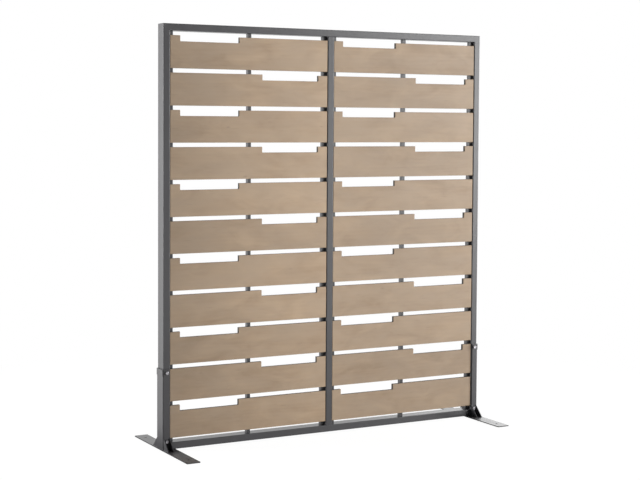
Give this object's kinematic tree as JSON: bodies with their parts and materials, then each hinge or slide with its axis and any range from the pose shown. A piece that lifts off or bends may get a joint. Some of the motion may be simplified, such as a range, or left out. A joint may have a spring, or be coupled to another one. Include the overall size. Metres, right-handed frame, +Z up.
{
  "type": "garden privacy screen",
  "caption": "Free-standing garden privacy screen: horizontal wooden boards with offset notches in a rectangular tube frame on two flat bolted feet.",
  "frame": {"origin": "on the ground, half way between the feet, at mid depth of the frame", "axes": "+X to the right seen from the front, where the notched boards lie behind the frame's face, +Y to the back, +Z up"},
  "size_m": [1.6106, 0.58, 1.8],
  "materials": {
    "frame_paint": "satin dark grey powder coat",
    "board_wood": "weathered brown-grey brushed boards, matt",
    "bolt_steel": "zinc-plated steel"
  },
  "bodies": {
    "root": {"left_upright": "frame_paint", "centre_upright": "frame_paint", "right_upright": "frame_paint", "top_rail": "frame_paint", "bottom_rail": "frame_paint", "left_bay_outer_batten": "frame_paint", "left_bay_middle_batten": "frame_paint", "left_bay_inner_batten": "frame_paint", "right_bay_outer_batten": "frame_paint", "right_bay_middle_batten": "frame_paint", "right_bay_inner_batten": "frame_paint", "left_board_01": "board_wood", "left_board_02": "board_wood", "left_board_03": "board_wood", "left_board_04": "board_wood", "left_board_05": "board_wood", "left_board_06": "board_wood", "left_board_07": "board_wood", "left_board_08": "board_wood", "left_board_09": "board_wood", "left_board_10": "board_wood", "left_board_11": "board_wood", "right_board_01": "board_wood", "right_board_02": "board_wood", "right_board_03": "board_wood", "right_board_04": "board_wood", "right_board_05": "board_wood", "right_board_06": "board_wood", "right_board_07": "board_wood", "right_board_08": "board_wood", "right_board_09": "board_wood", "right_board_10": "board_wood", "right_board_11": "board_wood", "left_bay_board_screws": "bolt_steel", "right_bay_board_screws": "bolt_steel", "left_base_plate": "frame_paint", "left_foot_channel": "frame_paint", "left_foot_strap": "frame_paint", "left_front_outer_gusset": "frame_paint", "left_front_inner_gusset": "frame_paint", "left_back_outer_gusset": "frame_paint", "left_back_inner_gusset": "frame_paint", "right_base_plate": "frame_paint", "right_foot_channel": "frame_paint", "right_foot_strap": "frame_paint", "right_front_outer_gusset": "frame_paint", "right_front_inner_gusset": "frame_paint", "right_back_outer_gusset": "frame_paint", "right_back_inner_gusset": "frame_paint", "foot_bolts": "bolt_steel", "foot_washers": "bolt_steel", "foot_nuts": "bolt_steel"}
  },
  "joints": []
}
